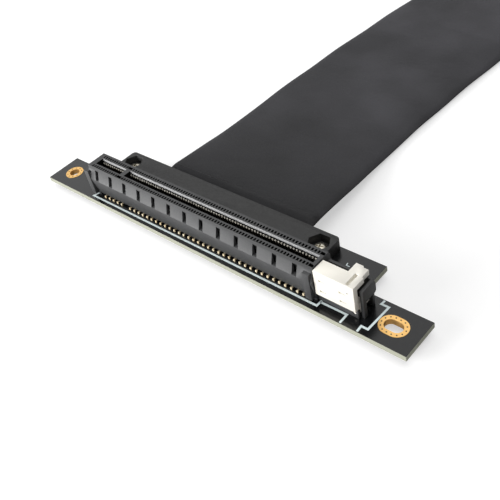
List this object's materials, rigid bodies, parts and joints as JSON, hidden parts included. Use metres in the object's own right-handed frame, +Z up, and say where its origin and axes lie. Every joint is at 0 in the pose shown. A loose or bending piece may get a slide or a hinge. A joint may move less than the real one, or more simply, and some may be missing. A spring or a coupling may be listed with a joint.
{
  "type": "graphics card riser cable",
  "caption": "Card slot on a small board, joined by a wide flat shielded cable to a card edge plug. The slot's white latch tips open.",
  "frame": {"origin": "on the floor, under the middle of the slot end's box, which is the long board's middle", "axes": "+X along the slot towards the latch, +Y the way the cable leaves, +Z up out of the slot"},
  "size_m": [0.1388, 0.4085, 0.0147],
  "materials": {
    "board_black": "glossy solder mask",
    "housing_black": "moulded, satin",
    "cover_black": "moulded, fine grain",
    "latch_white": "moulded, satin",
    "gold_plate": "gold plated",
    "screw_nickel": "nickel plated",
    "insert_brass": "plain",
    "tinned_wire": "tinned",
    "cable_sleeve": "matt sleeve"
  },
  "bodies": {
    "riser": {"slot_board": "board_black", "round_hole_plating": "gold_plate", "long_hole_plating": "gold_plate", "slot_housing": "housing_black", "front_contact_row": "gold_plate", "back_contact_row": "gold_plate", "slot_top_cover": "cover_black", "slot_bottom_cover": "cover_black", "slot_screw_left": "screw_nickel", "slot_screw_right": "screw_nickel", "slot_insert_left": "insert_brass", "slot_insert_right": "insert_brass", "slot_wire_ends": "tinned_wire", "ribbon_cable": "cable_sleeve", "plug_board": "board_black", "plug_top_cover": "cover_black", "plug_bottom_cover": "cover_black", "plug_screw_left": "screw_nickel", "plug_screw_right": "screw_nickel", "plug_insert_left": "insert_brass", "plug_insert_right": "insert_brass", "plug_wire_ends": "tinned_wire"},
    "latch": {"card_latch": "latch_white"}
  },
  "joints": [
    {"name": "latch_hinge", "type": "hinge", "parent": "riser", "child": "latch", "pos_m": [0.05292, -0.0047, 0.00485], "axis": [0, 1, 0], "range_deg": [0, 8]}
  ]
}
